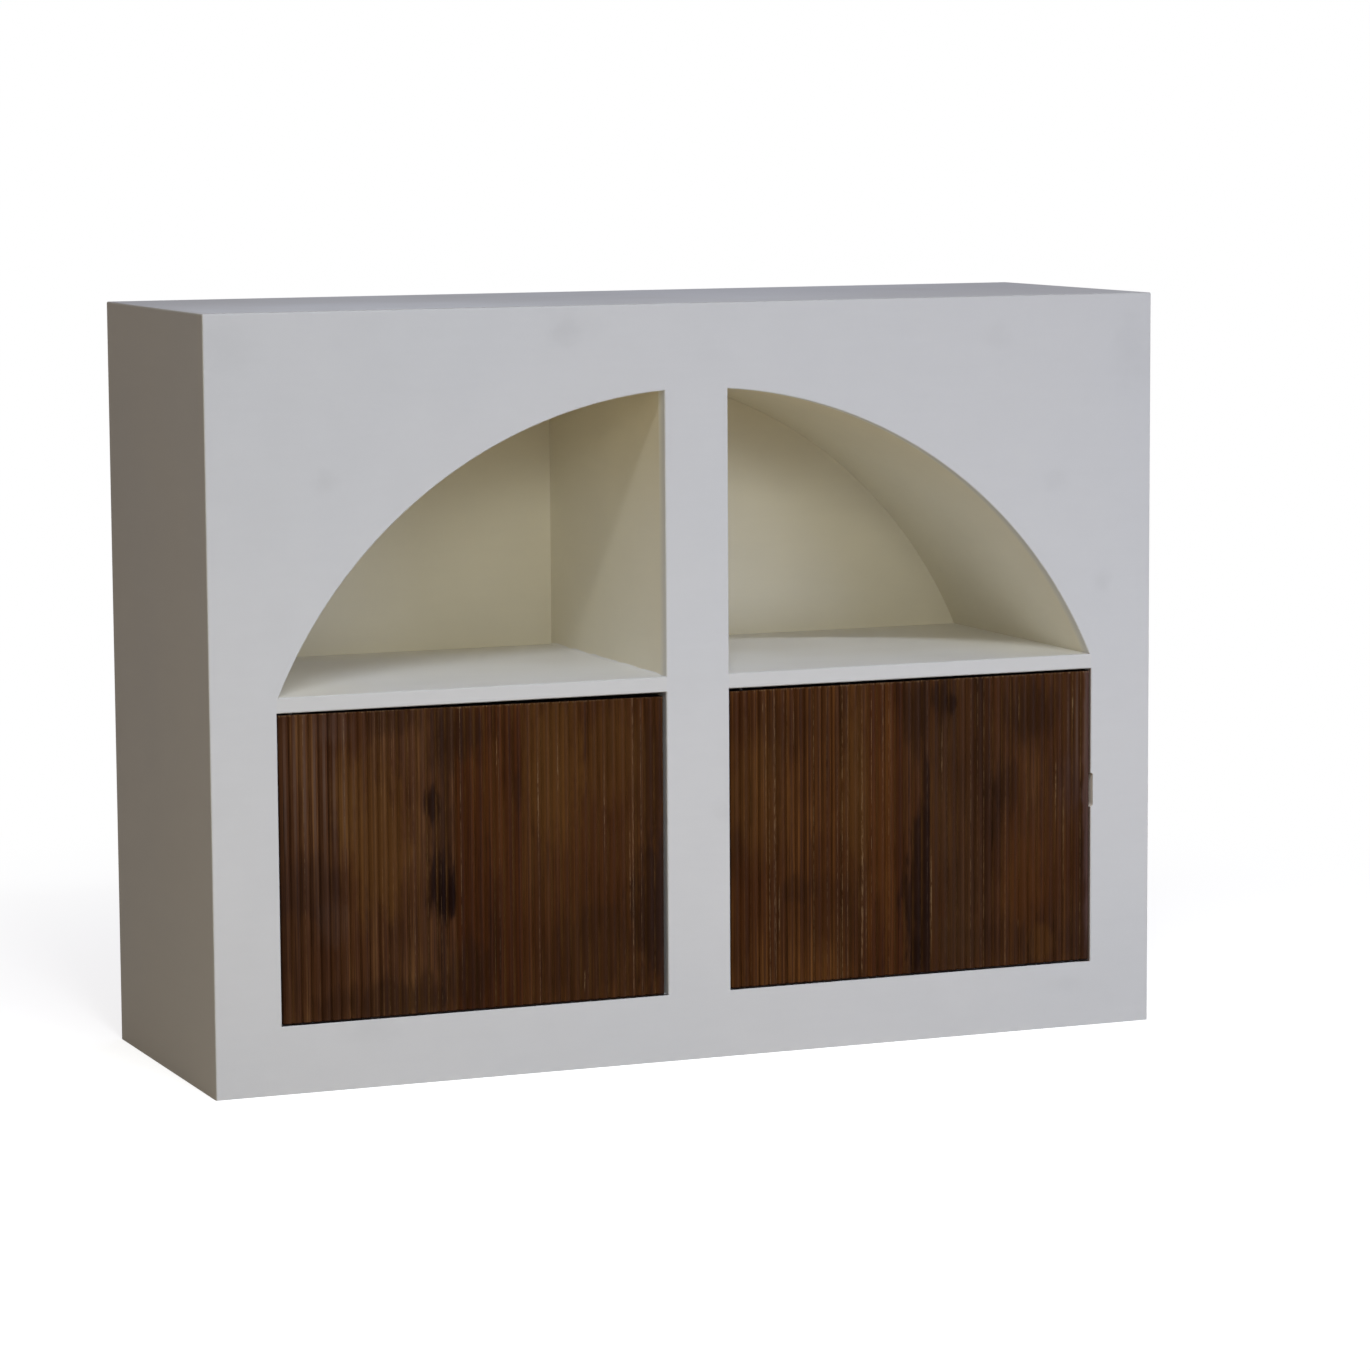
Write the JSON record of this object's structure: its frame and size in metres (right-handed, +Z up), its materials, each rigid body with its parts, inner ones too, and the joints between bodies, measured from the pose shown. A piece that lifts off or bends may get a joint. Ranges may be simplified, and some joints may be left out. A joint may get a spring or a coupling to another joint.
{
  "type": "sideboard",
  "caption": "Free-standing white sideboard with an arched open shelf split by a centre post over inset reeded dark wood doors on concealed pivots.",
  "frame": {"origin": "on the ground, under the middle of the case", "axes": "+Z up, +X to the right along the width as seen from the front, +Y from the front face to the back"},
  "size_m": [1.2, 0.4, 0.9],
  "materials": {
    "front_paint": "satin white paint over board, slightly brushed",
    "case_paint": "satin white paint over board",
    "shelf_paint": "satin white paint over board",
    "niche_paint": "matt cream paint",
    "cupboard_paint": "matt off-white paint",
    "raw_board": "bare sawn board",
    "dark_wood": "dark walnut stain with a satin lacquer, reeded",
    "batten_wood": "dark walnut stain",
    "steel": "bright zinc plated",
    "brass_socket": "plain turned",
    "catch_plastic": "moulded",
    "catch_steel": "plain"
  },
  "bodies": {
    "case": {"arch_board_left": "front_paint", "arch_board_right": "front_paint", "arch_rib_left_back": "raw_board", "arch_rib_left_front": "raw_board", "arch_rib_right_back": "raw_board", "arch_rib_right_front": "raw_board", "back_panel": "niche_paint", "catch_case_left": "catch_plastic", "catch_case_right": "catch_plastic", "catch_magnet_left": "catch_steel", "catch_magnet_right": "catch_steel", "cupboard_floor": "cupboard_paint", "cupboard_lining_left": "cupboard_paint", "cupboard_lining_right": "cupboard_paint", "divider_core_back": "raw_board", "divider_core_front": "raw_board", "divider_panel_left": "niche_paint", "divider_panel_right": "niche_paint", "floor_bearer_centre": "raw_board", "floor_bearer_left": "raw_board", "floor_bearer_right": "raw_board", "floor_glue_blocks": "raw_board", "frame_tenons": "raw_board", "front_bottom_rail": "front_paint", "front_stile_centre": "front_paint", "front_stile_left": "front_paint", "front_stile_right": "front_paint", "lining_battens_left": "raw_board", "lining_battens_right": "raw_board", "niche_soffit_left": "niche_paint", "niche_soffit_right": "niche_paint", "pivot_sockets_left": "brass_socket", "pivot_sockets_right": "brass_socket", "shelf_left": "shelf_paint", "shelf_right": "shelf_paint", "side_panel_left": "case_paint", "side_panel_right": "case_paint", "top_panel": "case_paint"},
    "door_left": {"door_left_batten_bottom": "batten_wood", "door_left_batten_top": "batten_wood", "door_left_pivot_pins": "steel", "door_left_plank_1": "dark_wood", "door_left_plank_2": "dark_wood", "door_left_plank_3": "dark_wood", "door_left_strike_plate": "steel"},
    "door_right": {"door_right_batten_bottom": "batten_wood", "door_right_batten_top": "batten_wood", "door_right_pivot_pins": "steel", "door_right_plank_1": "dark_wood", "door_right_plank_2": "dark_wood", "door_right_plank_3": "dark_wood", "door_right_plank_4": "dark_wood", "door_right_strike_plate": "steel"}
  },
  "joints": [
    {"name": "door_left_hinge", "type": "hinge", "parent": "case", "child": "door_left", "pos_m": [-0.502, -0.19, 0.2615], "axis": [0, 0, -1], "range_deg": [0, 110]},
    {"name": "door_right_hinge", "type": "hinge", "parent": "case", "child": "door_right", "pos_m": [0.0583, -0.19, 0.2615], "axis": [0, 0, -1], "range_deg": [0, 110]}
  ]
}
